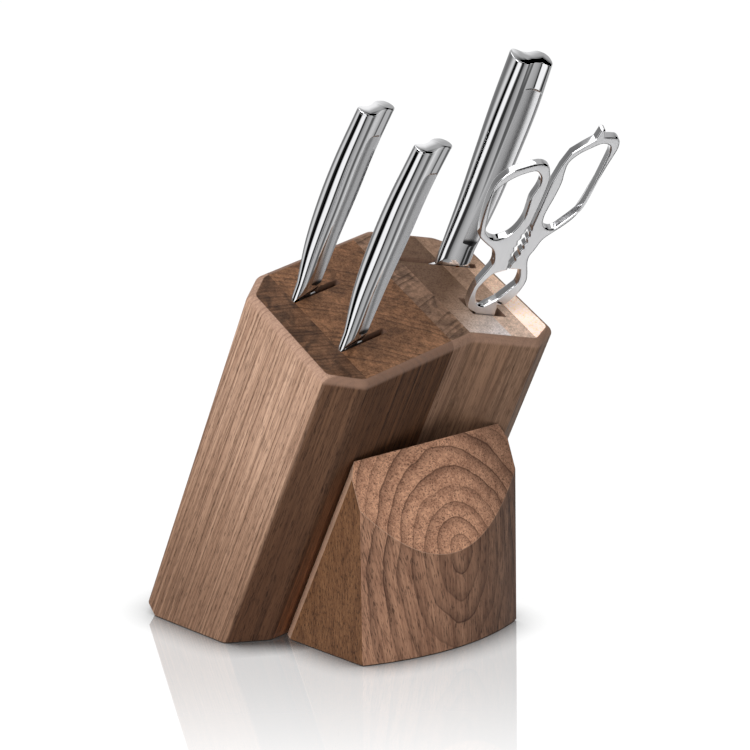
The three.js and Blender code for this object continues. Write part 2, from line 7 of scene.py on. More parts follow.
import bmesh
import bpy
from mathutils import Matrix, Vector


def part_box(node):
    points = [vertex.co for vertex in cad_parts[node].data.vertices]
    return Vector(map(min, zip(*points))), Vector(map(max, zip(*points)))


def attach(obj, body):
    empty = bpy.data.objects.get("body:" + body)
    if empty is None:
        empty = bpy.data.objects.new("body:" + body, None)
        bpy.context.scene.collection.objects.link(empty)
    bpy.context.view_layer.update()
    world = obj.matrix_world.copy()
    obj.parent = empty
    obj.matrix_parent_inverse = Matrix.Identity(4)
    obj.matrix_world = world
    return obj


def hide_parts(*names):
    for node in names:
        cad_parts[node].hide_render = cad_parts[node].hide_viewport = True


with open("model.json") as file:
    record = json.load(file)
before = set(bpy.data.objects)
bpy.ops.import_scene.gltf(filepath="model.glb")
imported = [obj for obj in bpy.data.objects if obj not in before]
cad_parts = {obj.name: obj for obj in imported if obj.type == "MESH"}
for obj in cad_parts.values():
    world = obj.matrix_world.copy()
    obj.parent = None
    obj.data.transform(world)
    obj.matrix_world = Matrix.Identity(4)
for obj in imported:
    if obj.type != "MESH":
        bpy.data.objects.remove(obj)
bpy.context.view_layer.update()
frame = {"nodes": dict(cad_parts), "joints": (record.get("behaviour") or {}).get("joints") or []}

# ------------------------------------------------------------------------------------------------
# The walnut block: six staves glued side by side, leaning forward.  Seen along its length it is
# a shallow V, open to the front, with its outer corners cut off.  Each stave is sawn from its own
# board, the top edge is rounded over and the arrises are sanded soft.

MM = 0.001
GLUE = 0.02
HALF_JOINT = 0.15
FOOT_TO_VALLEY = 14.835
lift_axis = frame["joints"][0]["axis"]
lean = math.atan2(-lift_axis[1], lift_axis[2])
block_foot = Vector((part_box("stave_d")[0].x - HALF_JOINT * MM,
                     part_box("foot")[1].y + FOOT_TO_VALLEY * MM, 0))
block_axes = (Matrix.Translation(block_foot) @ Matrix.Rotation(lean, 4, "X")
              @ Matrix.Scale(MM, 4))
BLOCK_LENGTH = 178
GROUND_CLEAR = 0.6
TOP_ROUND = 4.3
LEFT_SWEEP = math.radians(9.6)
RIGHT_SWEEP = math.radians(24.2)
LEFT_WING = 81.8
RIGHT_WING = 36.5
LEFT_CORNER = (-20.2, 10.9)
RIGHT_CORNER = (15.8, 8.2)
RIDGE_BACK = 90
BACK_CUT_SIDE = 9.7
BACK_CUT_REAR = 15.9
BACK_TAPER = 2
SIDE_TAPER = 1.5
BELOW_TABLE = -90
ARRIS = 1.6
glue_lines = [-78.6, -14.6, 0, 20.9, 33.3]
down = Vector((0, -math.sin(lean), -math.cos(lean)))


def crossing(p, d, q, e):
    """Where the line from p along d meets the line from q along e."""
    t = ((q.x - p.x) * e.y - (q.y - p.y) * e.x) / (d.x * e.y - d.y * e.x)
    return p + d * t


def block_outline(height):
    """The block's plan at a height, from its right front corner round to the left."""
    forward = (BLOCK_LENGTH - height) * math.tan(math.radians(BACK_TAPER))
    left_run = Vector((-math.cos(LEFT_SWEEP), -math.sin(LEFT_SWEEP)))
    right_run = Vector((math.cos(RIGHT_SWEEP), -math.sin(RIGHT_SWEEP)))
    left_end = left_run * LEFT_WING
    left_side = left_end + Vector(LEFT_CORNER)
    right_end = right_run * RIGHT_WING
    right_side = right_end + Vector(RIGHT_CORNER)
    ridge = Vector((0, RIDGE_BACK - forward))
    inward = math.tan(math.radians(SIDE_TAPER))
    left_corner = crossing(left_side, Vector((inward, 1)), ridge, left_run)
    right_corner = crossing(right_side, Vector((-inward, 1)), ridge, right_run)
    outline = [Vector((0, 0)), left_end, left_side,
               left_corner - Vector((inward, 1)) * BACK_CUT_SIDE,
               left_corner - left_run * BACK_CUT_REAR, ridge,
               right_corner - right_run * BACK_CUT_REAR,
               right_corner - Vector((-inward, 1)) * BACK_CUT_SIDE,
               right_side, right_end]
    return outline[::-1]


def drawn_in(outline, distance):
    """An outline moved inward by a distance on every side."""
    inside = []
    for i, point in enumerate(outline):
        after = outline[(i + 1) % len(outline)]
        d = (point - outline[i - 1]).normalized()
        e = (after - point).normalized()
        inside.append(crossing(outline[i - 1] + Vector((-d.y, d.x)) * distance, d,
                               point + Vector((-e.y, e.x)) * distance, e))
    return inside


def loft(bm, rings):
    """Skins a stack of rings that have the same number of points, and closes both ends."""
    rows = [[bm.verts.new(p) for p in ring] for ring in rings]
    for low, high in zip(rows, rows[1:]):
        for i in range(len(low)):
            j = (i + 1) % len(low)
            bm.faces.new((low[i], low[j], high[j], high[i]))
    bm.faces.new(rows[0][::-1])
    bm.faces.new(rows[-1])


def sliced(bm, point, outward):
    """Cuts away what lies beyond the plane and closes the cut."""
    geometry = bm.verts[:] + bm.edges[:] + bm.faces[:]
    cut = bmesh.ops.bisect_plane(bm, geom=geometry, plane_co=point, plane_no=outward,
                                 clear_outer=True)["geom_cut"]
    bmesh.ops.edgeloop_fill(bm, edges=[g for g in cut if isinstance(g, bmesh.types.BMEdge)])


def made(name, bm, axes, materials, smooth_to=30):
    """Turns a working mesh in millimetres into an object in the row frame."""
    bmesh.ops.recalc_face_normals(bm, faces=bm.faces)
    mesh = bpy.data.meshes.new(name)
    bm.to_mesh(mesh)
    bm.free()
    mesh.transform(axes)
    mesh.polygons.foreach_set("use_smooth", [True] * len(mesh.polygons))
    mesh.set_sharp_from_angle(angle=math.radians(smooth_to))
    thing = bpy.data.objects.new(name, mesh)
    bpy.context.scene.collection.objects.link(thing)
    for material in materials:
        mesh.materials.append(material)
    return thing


def settled(thing):
    """Applies the modifiers of a thing, so that its mesh is final."""
    bpy.context.view_layer.update()
    final = thing.evaluated_get(bpy.context.evaluated_depsgraph_get())
    thing.data = bpy.data.meshes.new_from_object(final)
    thing.modifiers.clear()
    return thing


def carved(thing, tools):
    """Takes the tools' solids out of a thing, then drops the tools."""
    for tool in tools:
        cut = thing.modifiers.new("cut", "BOOLEAN")
        cut.operation = "DIFFERENCE"
        cut.solver = "EXACT"
        cut.material_mode = "TRANSFER"
        cut.object = tool
    settled(thing)
    thing.data.set_sharp_from_angle(angle=math.radians(34))
    for tool in tools:
        bpy.data.objects.remove(tool)
    return thing


def even_faces(thing):
    """Keeps wide flat faces flat in the shading beside a narrow rounded edge."""
    weighted = thing.modifiers.new("weighted", "WEIGHTED_NORMAL")
    weighted.keep_sharp = True
    weighted.weight = 100
    return settled(thing)


class Shade:
    """An output in a material's node tree; Python's operators add the maths nodes."""

    def __init__(self, tree, socket):
        self.tree = tree
        self.socket = socket

    def node(self, kind, settings=None, values=None, out=0):
        node = self.tree.nodes.new(kind)
        for key, value in (settings or {}).items():
            if key == "stops":
                ramp = node.color_ramp.elements
                while len(ramp) < len(value):
                    ramp.new(1.0)
                for stop, (place, colour) in zip(ramp, value):
                    stop.position = place
                    stop.color = (*colour, 1) if len(colour) == 3 else colour
            else:
                setattr(node, key, value)
        for key, value in (values or {}).items():
            if isinstance(value, Shade):
                self.tree.links.new(value.socket, node.inputs[key])
            else:
                node.inputs[key].default_value = value
        return Shade(self.tree, node.outputs[out])

    def maths(self, operation, *others):
        terms = [self, *others]
        vectors = any(isinstance(t, Shade) and t.socket.type == "VECTOR" for t in terms)
        kind = "ShaderNodeVectorMath" if vectors else "ShaderNodeMath"
        spread = [(t,) * 3 if vectors and isinstance(t, (int, float)) else t for t in terms]
        return self.node(kind, {"operation": operation}, dict(enumerate(spread)))

    def __add__(self, other):
        return self.maths("ADD", other)

    __radd__ = __add__

    def __sub__(self, other):
        return self.maths("SUBTRACT", other)

    def __rsub__(self, other):
        return self * -1 + other

    def __mul__(self, other):
        return self.maths("MULTIPLY", other)

    __rmul__ = __mul__

    def __truediv__(self, other):
        return self.maths("DIVIDE", other)

    def __pow__(self, other):
        return self.maths("POWER", other)

    def dot(self, direction):
        settings = {"operation": "DOT_PRODUCT"}
        return self.node("ShaderNodeVectorMath", settings, {0: self, 1: tuple(direction)}, "Value")

    def ramp(self, low, high, smooth=True):
        """0 below low, 1 above high, eased between."""
        kind = {"interpolation_type": "SMOOTHSTEP" if smooth else "LINEAR"}
        return self.node("ShaderNodeMapRange", kind,
                         {"Value": self, "From Min": low, "From Max": high})

    def noise(self, scale=1.0, detail=2.0, roughness=0.5, distortion=0.0):
        """Noise read at this vector."""
        return self.node("ShaderNodeTexNoise", None, {
            "Vector": self, "Scale": scale, "Detail": detail, "Roughness": roughness,
            "Distortion": distortion}, "Fac")

    def blend(self, first, second):
        """Colour that goes from the first to the second as this value goes from 0 to 1."""
        return self.node("ShaderNodeMix", {"data_type": "RGBA"},
                         {0: self, 6: first, 7: second}, 2)

    def shaded(self, *shares):
        """This colour with its red, green and blue scaled."""
        return self.node("ShaderNodeMix", {"data_type": "RGBA", "blend_type": "MULTIPLY"},
                         {0: 1.0, 6: self, 7: vector(*shares)}, 2)

    def times(self, colour, tint):
        """The colour, multiplied by the tint as far as this value says."""
        return self.node("ShaderNodeMix", {"data_type": "RGBA", "blend_type": "MULTIPLY"},
                         {0: self, 6: colour, 7: tint}, 2)


def vector(x, y, z):
    some = next(v for v in (x, y, z) if isinstance(v, Shade))
    return some.node("ShaderNodeCombineXYZ", None, {0: x, 1: y, 2: z})


def finish_of(name, metallic=0.0, coat=0.0, coat_roughness=0.1, specular=0.5):
    """A new material, with its place in metres in the row frame and its normal."""
    material = bpy.data.materials.new(name)
    material.use_nodes = True
    tree = material.node_tree
    shader = tree.nodes["Principled BSDF"]
    shader.inputs["Metallic"].default_value = metallic
    shader.inputs["Coat Weight"].default_value = coat
    shader.inputs["Coat Roughness"].default_value = coat_roughness
    shader.inputs["Specular IOR Level"].default_value = specular
    where = tree.nodes.new("ShaderNodeTexCoord")
    return material, Shade(tree, where.outputs["Object"]), Shade(tree, where.outputs["Normal"])


def finished(material, start, colour, roughness, height=None, depth=0.1, facing=None):
    """Joins colour, roughness and relief (depth in millimetres) to a material's shader."""
    shader = start.tree.nodes["Principled BSDF"]
    for socket, value in (("Base Color", colour), ("Roughness", roughness)):
        if isinstance(value, Shade):
            start.tree.links.new(value.socket, shader.inputs[socket])
        else:
            shader.inputs[socket].default_value = value
    if height is not None:
        relief = {"Height": height, "Strength": 1.0, "Distance": depth * MM}
        if facing:
            relief["Normal"] = facing
        facing = start.node("ShaderNodeBump", None, relief)
    if facing:
        start.tree.links.new(facing.socket, shader.inputs["Normal"])
    return material


def srgb(r, g, b):
    """A colour given as on a paint chart, 0 to 255, in the form that a shader takes."""
    linear = [c / 12.92 if c <= 0.04045 else ((c + 0.055) / 1.055) ** 2.4
              for c in (r / 255, g / 255, b / 255)]
    return (*linear, 1)


across_block = (block_axes.to_3x3() @ Vector((1, 0, 0))).normalized()
deep_block = (block_axes.to_3x3() @ Vector((0, 1, 0))).normalized()
along_block = (block_axes.to_3x3() @ Vector((0, 0, 1))).normalized()


def walnut(name, pale, dark, line, pith, ring, seed, pore, end_tone_and_light, low, wave=7, shade_and_end_tone=None,
           painted_sheen=0.0):
    """Oiled walnut with its grain along the block.

    pith is the centre of the tree's rings in the block's plan, ring their spacing, wave how far
    they wander, and pore how marked the pores are.  The end grain's brightness is scaled by
    end_tone_and_light, which is partly the end grain's own tone and partly painted light on the
    tops.  low scales the brightness toward the foot of the board, a painted fall-off of light and
    shade, and painted_sheen is the strength of a sheen painted on the end grain toward the right
    front.  The rounded top edges are paler, partly sanded and partly a painted highlight.
    shade_and_end_tone, when given, is where in the plan the stave's front ends, and a darker tint:
    painted shade on that down-facing front, which also darkens the end grain on top.
    """
    material, place = finish_of(name, coat=0.05, coat_roughness=0.35, specular=0.2)[:2]
    shift = random.Random(seed)
    offset = [shift.uniform(-400, 400) for _ in range(3)]
    x = (place.dot(across_block) - block_foot.dot(across_block)) / MM
    y = (place.dot(deep_block) - block_foot.dot(deep_block)) / MM
    z = (place.dot(along_block) - block_foot.dot(along_block)) / MM
    wander = vector(x * 0.03 + offset[0], y * 0.03 + offset[1], z * 0.005).noise(1.0, 3)
    dx = x - pith[0]
    dy = y - pith[1]
    radius = (dx * dx + dy * dy) ** 0.5 + (wander - 0.5) * wave
    count = radius / ring
    year = count.maths("FRACT")
    late = year.ramp(0.35, 0.95) * (1 - year.ramp(0.95, 1.0))
    mood = vector(count.maths("FLOOR") * 7.31 + offset[2], 0.5, z * 0.004).noise(1.0, 1)
    fibre = vector(x * 0.9 + offset[1], y * 0.9, z * 0.018 + offset[0]).noise(1.0, 4, 0.65)
    streak = vector(x * 0.22 + offset[2], y * 0.22, z * 0.004).noise(1.0, 3, 0.55)
    pores = vector(x * 1.7 + offset[0], y * 1.7 + offset[2], z * 0.17).noise(1.0, 2, 0.6)
    pores = pores.ramp(0.52, 0.64) * (0.6 + late * 0.4) * pore
    vein = 1 - ((streak - 0.5) ** 2).ramp(0.00001, 0.0006)
    dashes = vector(x * 1.5 + offset[2], y * 1.5 + offset[0], z * 0.028).noise(1.0, 3, 0.7)
    dashes = dashes.ramp(0.6, 0.72) * streak.ramp(0.4, 0.62) * pore
    end = z.ramp(BLOCK_LENGTH - 0.12, BLOCK_LENGTH - 0.02)
    edge = z.ramp(BLOCK_LENGTH - 4.6, BLOCK_LENGTH - 2.2) * (1 - end)
    tone = streak.ramp(0.3, 0.72) * 0.35 + fibre.ramp(0.3, 0.72) * 0.65
    colour = tone.blend(pale, dark)
    # The rings fade on the end grain under its painted sheen.
    ring_share = 0.8 - end * min(0.7, painted_sheen * 0.4)
    colour = (late * mood.ramp(0.3, 0.75) * ring_share).blend(colour, line)
    dark_pore = tuple(c * 0.4 for c in line[:3]) + (1,)
    colour = (pores * (1 - end * 0.5) * 0.6).blend(colour, dark_pore)
    colour = (dashes * 0.45).blend(colour, dark_pore)
    colour = (vein * (1 - end) * 0.35).blend(colour, line)
    curl = vector(x * 0.11 - y * 0.06 + offset[0], y * 0.1 + x * 0.05, offset[1])
    curl = curl.noise(1.0, 3, 0.6, 1.2).ramp(0.3, 0.7)
    # Painted sheen: a highlight painted on the end grain, strongest toward the right front.
    haze = end * painted_sheen * (1 - (y - x * 0.45).ramp(-15, 36))
    figure = (curl - 0.5) * max(0.2, 0.9 - painted_sheen * 0.5)
    # Painted light and shade toward the foot of the board: low scales the brightness of the lower
    # part.
    root = 1 - z.ramp(0, 150)
    # The stave's front takes a darker tint, painted shade where it faces down; the same tint
    # darkens the end grain on top.
    shaded_front = (1 - y.ramp(shade_and_end_tone[0], shade_and_end_tone[1])) * (1 - end) if shade_and_end_tone else 0
    # The end grain's brightness: partly its own tone, partly painted light on the tops.
    shade = 1 + end * (end_tone_and_light * (1 + figure + haze) - 1)
    shade = shade * (1 - root * (1 - low) * (1 - shaded_front * 0.7))
    if shade_and_end_tone:
        colour = (shaded_front + end).times(colour, shade_and_end_tone[2])
    # The hue follows the painted light: cooler where the end grain is brighter and under the
    # painted sheen, warmer toward the foot.
    cool = 1 + end * (end_tone_and_light * 0.08 - 0.05) + haze * 0.14 - root * 0.1
    oiled_and_lit = colour.shaded(shade, shade * cool, shade * cool * cool)
    # The rounded top edges go paler, partly sanded and partly a painted highlight where they catch
    # the light.
    oiled_and_lit = (edge * 0.6 * (0.6 + fibre * 0.6)).blend(oiled_and_lit, srgb(160, 128, 110))
    roughness = 0.52 + fibre * 0.16 + pores * 0.2
    height = fibre * 0.25 - pores * 0.8 - late * 0.15
    return finished(material, place, oiled_and_lit, roughness, height, 0.05)


whole = bmesh.new()
round_steps = 12
rings = [[Vector((p.x, p.y, BELOW_TABLE)) for p in block_outline(BELOW_TABLE)]]
for i in range(round_steps + 1):
    turn = math.pi / 2 * i / round_steps
    height = BLOCK_LENGTH - TOP_ROUND * (1 - math.sin(turn))
    edge = drawn_in(block_outline(height), TOP_ROUND * (1 - math.cos(turn)))
    rings.append([Vector((p.x, p.y, height)) for p in edge])
loft(whole, rings)
arris = [e for e in whole.edges
         if abs((e.verts[0].co - e.verts[1].co).normalized().z) > 0.05
         and len(e.link_faces) == 2]
bmesh.ops.bevel(whole, geom=arris, offset=ARRIS, segments=4, profile=0.5, affect="EDGES",
                clamp_overlap=True)
sliced(whole, -down * GROUND_CLEAR, down)

# The sharp edges at the foot of the back and of its cut corners are planed off.
HEEL_CUT = 6.5
low_outline = [Vector((p.x, p.y, -p.y * math.tan(lean)))
               for p in block_outline(-RIDGE_BACK * math.tan(lean) * 0.8)]
back_corners = (2, 3, 4, 5)
for i in back_corners:
    along = (low_outline[i + 1] - low_outline[i]).normalized()
    face = Vector((along.y, -along.x, 0)).normalized()
    sliced(whole, low_outline[i] + (-down).cross(along) * HEEL_CUT, (face + down).normalized())

SLOT_FLOOR = 7
KERF_WIDTH = 3.5
KERF_RUN_IN = 1.2
SMALL_KERF = 34.5
CHEF_KERF = 42.4
FRONT_KERF_BACK = 12.9
BACK_KERF_BACK = 52.3
CHEF_KERF_BACK = 64.1
SHEAR_SLOT_LEFT = 11.6
SHEAR_SLOT_RIGHT = 28.2
SHEAR_SLOT_FRONT = 15.15
SHEAR_SLOT_DEEP = 12
floor_line = -down * SLOT_FLOOR
small_kerf_x = glue_lines[0] + HALF_JOINT
chef_kerf_x = HALF_JOINT


def slot_tool(name, corners):
    """The cutter of a slot, from its floor up past the block's top."""
    bm = bmesh.new()
    loft(bm, [[Vector((p[0], p[1], z)) for p in corners] for z in (BELOW_TABLE, BLOCK_LENGTH + 3)])
    sliced(bm, floor_line, down)
    return made(name, bm, block_axes, [])


def kerf_corners(x, back, turn, length):
    """The plan of a saw kerf that starts just beyond a glue line."""
    along = Vector((math.cos(turn), math.sin(turn)))
    side = Vector((-along.y, along.x))
    start = Vector((x, back)) - along * KERF_RUN_IN
    end = Vector((x, back)) + along * length
    return [start - side * KERF_WIDTH / 2, end - side * KERF_WIDTH / 2,
            end + side * KERF_WIDTH / 2, start + side * KERF_WIDTH / 2]


shear_slot_back = SHEAR_SLOT_FRONT + SHEAR_SLOT_DEEP / math.cos(RIGHT_SWEEP)
shear_wall = [(SHEAR_SLOT_LEFT, SHEAR_SLOT_FRONT), (SHEAR_SLOT_RIGHT, SHEAR_SLOT_FRONT),
              (SHEAR_SLOT_RIGHT, shear_slot_back), (SHEAR_SLOT_LEFT, shear_slot_back)]
shear_slot = [(x, y - math.tan(RIGHT_SWEEP) * (x - SHEAR_SLOT_LEFT)) for x, y in shear_wall]
front_kerf = kerf_corners(small_kerf_x, FRONT_KERF_BACK, LEFT_SWEEP, SMALL_KERF)
back_kerf = kerf_corners(small_kerf_x, BACK_KERF_BACK, LEFT_SWEEP, SMALL_KERF)
chef_kerf = kerf_corners(chef_kerf_x, CHEF_KERF_BACK, -RIGHT_SWEEP, CHEF_KERF)
slots_in = {"stave_b": [front_kerf, back_kerf], "stave_d": [chef_kerf, shear_slot],
            "stave_e": [chef_kerf, shear_slot], "stave_f": [chef_kerf]}

stave_woods = {
    "stave_a": walnut("walnut_a", srgb(210, 173, 148), srgb(152, 117, 95), srgb(98, 68, 48),
                      pith=(-130, -240), ring=2.3, seed=11, pore=1.0, end_tone_and_light=0.92, low=0.58,
                      wave=5, shade_and_end_tone=(-4.0, -2.2, (0.25, 0.19, 0.14, 1))),
    "stave_b": walnut("walnut_b", srgb(118, 80, 54), srgb(62, 39, 24), srgb(36, 23, 15),
                      pith=(-150, -130), ring=3.4, seed=22, pore=0.9, end_tone_and_light=1.65, low=1.85,
                      painted_sheen=0.6),
    "stave_c": walnut("walnut_c", srgb(166, 130, 106), srgb(120, 91, 71), srgb(72, 50, 36),
                      pith=(60, -180), ring=3.0, seed=33, pore=0.8, end_tone_and_light=0.75, low=1.0),
    "stave_d": walnut("walnut_d", srgb(150, 116, 92), srgb(104, 77, 59), srgb(74, 52, 39),
                      pith=(-90, -200), ring=2.8, seed=44, pore=0.9, end_tone_and_light=0.65, low=0.9,
                      painted_sheen=4.2),
    "stave_e": walnut("walnut_e", srgb(150, 118, 95), srgb(106, 79, 61), srgb(76, 54, 40),
                      pith=(120, -180), ring=3.0, seed=55, pore=0.9, end_tone_and_light=1.35, low=0.9,
                      painted_sheen=1.5),
    "stave_f": walnut("walnut_f", srgb(158, 124, 99), srgb(116, 86, 66), srgb(80, 58, 43),
                      pith=(160, -160), ring=2.6, seed=66, pore=0.9, end_tone_and_light=2.05, low=0.9,
                      painted_sheen=1.9),
}
edges_of_stave = [None, *glue_lines, None]
for i, (name, wood) in enumerate(stave_woods.items()):
    bm = whole.copy()
    if edges_of_stave[i] is not None:
        sliced(bm, Vector((edges_of_stave[i] + GLUE, 0, 0)), Vector((-1, 0, 0)))
    if edges_of_stave[i + 1] is not None:
        sliced(bm, Vector((edges_of_stave[i + 1] - GLUE, 0, 0)), Vector((1, 0, 0)))
    stave = made(name + "_walnut", bm, block_axes, [wood], 35)
    cutters = [slot_tool("cutter", c) for c in slots_in.get(name, [])]
    if cutters:
        for cutter in cutters:
            cutter.data.materials.append(wood)
        carved(stave, cutters)
    even_faces(stave)
    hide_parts(name)
    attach(stave, "block")
whole.free()

# ------------------------------------------------------------------------------------------------
# The foot: a solid walnut prop against the front of the block, with a bowed front and a sloping
# face on top, and its grain tilted, so that the rings show as nested ovals and tongues.  Its edge
# under the sloping face is sanded round and has gone pale.

FOOT_LEFT = -72.7
FOOT_WIDTH = 104.5
SIDE_LENGTH = 56.5
BOW = 11.5
FACE_HEIGHT = 81.2
FACE_SLOPE = math.radians(69.3)
BACK_GAP = 12.85
CLIP_ACROSS = 3.9
CLIP_BACK = 6.15
HEART = (-16.0, -88.6, 49.0)
HEART_TILT = math.radians(37)
RING_WIDTH = 7.6
BOW_STEPS = 48
BLANK_LOW = -40
EDGE_ROUND = 1.2

foot_axes = Matrix.Translation(block_foot) @ Matrix.Scale(MM, 4)
forward = Vector((0, -math.cos(lean), -math.sin(lean)))
side_back = -(BACK_GAP + CLIP_BACK) / math.cos(lean)
side_front = side_back - SIDE_LENGTH
foot_right = FOOT_LEFT + FOOT_WIDTH


def foot_walnut(name):
    """Walnut sawn flat, its rings round an axis that leans out through the sloping face."""
    material, place, normal = finish_of(name, coat=0.05, coat_roughness=0.35, specular=0.2)
    x = (place.dot((1, 0, 0)) - block_foot.x) / MM
    y = (place.dot((0, 1, 0)) - block_foot.y) / MM
    z = place.dot((0, 0, 1)) / MM
    heart_x = x - HEART[0]
    heart_y = (y - HEART[1]) * math.cos(HEART_TILT) + (z - HEART[2]) * math.sin(HEART_TILT)
    along = (z - HEART[2]) * math.cos(HEART_TILT) - (y - HEART[1]) * math.sin(HEART_TILT)
    wander = vector(x * 0.022 + 4.1, heart_y * 0.022, along * 0.016 + 2.2).noise(1.0, 2)
    ripple = vector(x * 0.1, heart_y * 0.1, along * 0.04).noise(1.0, 2)
    radius = (heart_x * heart_x + heart_y * heart_y) ** 0.5
    count = (radius + (wander - 0.5) * 12 + (ripple - 0.5) * 2.5) / RING_WIDTH
    year = count.maths("FRACT")
    thin = year.ramp(0.86, 0.93) * (1 - year.ramp(0.95, 1.0))
    late = year.ramp(0.35, 0.93) * (1 - year.ramp(0.95, 1.0)) * 0.6 + thin * 0.4
    mood = vector(count.maths("FLOOR") * 5.77 + 3, 0.5, along * 0.02).noise(1.0, 1)
    slope = normal.dot((0, -math.sin(FACE_SLOPE), math.cos(FACE_SLOPE))).ramp(0.985, 0.999)
    across = x + z * 0.22 * (1 - x.ramp(-60, 0))
    deep = y + slope * z / math.tan(FACE_SLOPE)
    fibre = vector(across * 0.9, deep * 0.9 + 9, z * 0.05).noise(1.0, 4, 0.65)
    streak = vector(across * 0.16 + 5, deep * 0.16, z * 0.012).noise(1.0, 3, 0.5)
    pores = vector(across * 1.7, deep * 1.7, z * 0.2 + 7).noise(1.0, 3, 0.6)
    pores = pores.ramp(0.52, 0.64)
    tone = streak.ramp(0.3, 0.7) * 0.4 + fibre.ramp(0.32, 0.7) * 0.6
    colour = tone.blend(srgb(192, 146, 117), srgb(128, 90, 70))
    # The foot's left side is darkened: painted shade, where the block's wing shadows it.
    shaded_side = normal.dot((-1, 0, 0)).ramp(0.85, 0.99)
    bands = late * (0.4 + mood.ramp(0.3, 0.7) * 0.5) * (1 - shaded_side)
    colour = bands.blend(colour, srgb(78, 51, 39))
    colour = (pores * 0.7).blend(colour, srgb(58, 38, 29))
    worn = normal.dot((0, 0, 1)).ramp(0.03, 0.12) * (1 - slope)
    # Painted light and shade: the bowed front darkens toward the right, away from the light, and
    # the sloping face is painted lighter at its left and middle and darker at its right.
    front = normal.dot((0, -1, 0)).ramp(0.2, 0.5)
    shade = 1 - front * (1 - slope) * (0.12 + x.ramp(-50, 30) * 0.36)
    shade = shade * (1 + slope * (0.44 - x.ramp(-14, 32) * 0.64))
    colour = (worn * 0.6).blend(colour, srgb(200, 166, 142))
    colour = colour.shaded(shade, shade, shade)
    # Painted shade on the foot's left side.
    colour = shaded_side.times(colour, (0.43, 0.37, 0.265, 1))
    roughness = 0.5 + fibre * 0.2
    height = fibre * 0.3 - pores * 0.8 - late * 0.15
    return finished(material, place, colour, roughness, height, 0.06)


bm = bmesh.new()
bow = []
for i in range(BOW_STEPS + 1):
    t = i / BOW_STEPS
    bow.append((FOOT_LEFT + FOOT_WIDTH * t, side_front - 4 * BOW * t * (1 - t)))
outline = [(FOOT_LEFT, 0)] + bow + [(foot_right, 0)]
loft(bm, [[Vector((x, y, z)) for x, y in outline] for z in (BLANK_LOW, 2 * FACE_HEIGHT)])
clip = math.hypot(CLIP_ACROSS, CLIP_BACK)
face_out = Vector((0, -math.sin(FACE_SLOPE), math.cos(FACE_SLOPE)))
sliced(bm, forward * BACK_GAP, -forward)
for side, x in ((1, FOOT_LEFT), (-1, foot_right)):
    inward = Vector((side * CLIP_BACK / clip, 0, 0)) + forward * (CLIP_ACROSS / clip)
    corner = Vector((x, 0, 0)) + forward * (BACK_GAP + CLIP_BACK)
    sliced(bm, corner, -inward)
sliced(bm, Vector((0, side_front, FACE_HEIGHT)), face_out)
bmesh.ops.remove_doubles(bm, verts=bm.verts, dist=0.01)
bmesh.ops.dissolve_limit(bm, angle_limit=math.radians(0.5), verts=bm.verts, edges=bm.edges)
bm.normal_update()
worn = [e for e in bm.edges if len(e.link_faces) == 2 and e.calc_face_angle() > 0.2
        and max(v.co.z for v in e.verts) > BLANK_LOW + 1]
bmesh.ops.bevel(bm, geom=worn, offset=EDGE_ROUND, segments=4, profile=0.5, affect="EDGES",
                clamp_overlap=True)
sliced(bm, Vector((0, 0, GROUND_CLEAR)), Vector((0, 0, -1)))
foot = made("foot_walnut", bm, foot_axes, [foot_walnut("walnut_foot")], 20)
even_faces(foot)
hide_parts("foot")
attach(foot, "block")

# Beech dowels pin the foot to the block, and rubber pads are let into the underside.  All of
# them are plain turned or punched pieces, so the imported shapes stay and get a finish.


def turned_beech(name):
    material, place = finish_of(name)[:2]
    grain = vector(place.dot((900, 0, 0)), place.dot(along_block * 900),
                   place.dot(deep_block * 60)).noise(1.0, 3)
    colour = grain.blend(srgb(190, 150, 108), srgb(150, 112, 76))
    return finished(material, place, colour, 0.6 + grain * 0.1, grain, 0.05)


def moulded_rubber(name):
    material, place = finish_of(name, specular=0.3)[:2]
    speckle = (place * 2500).noise(1.0, 2)
    colour = speckle.blend(srgb(30, 30, 31), srgb(44, 44, 45))
    return finished(material, place, colour, 0.75 + speckle * 0.15, speckle, 0.04)


beech = turned_beech("turned_beech")
rubber = moulded_rubber("moulded_rubber")
for name, node in frame["nodes"].items():
    if name.startswith("foot_dowel"):
        node.data.materials.clear()
        node.data.materials.append(beech)
    if name.startswith("pad_"):
        node.data.materials.clear()
        node.data.materials.append(rubber)

# ------------------------------------------------------------------------------------------------
# The knives: each has a forged steel blade with a tang, a mirror-polished bolster, a hollow
# handle of S section with a sunk satin panel on each side, and a butt cap.  The two small ones
# stand with the spine to the left, the large one with the spine to the right.

# Widths, thicknesses and centre line run from the bolster to the butt.  slope and rise are how the
# bolster's flats lean, slant how the butt does, and panel is how far up the panel starts.

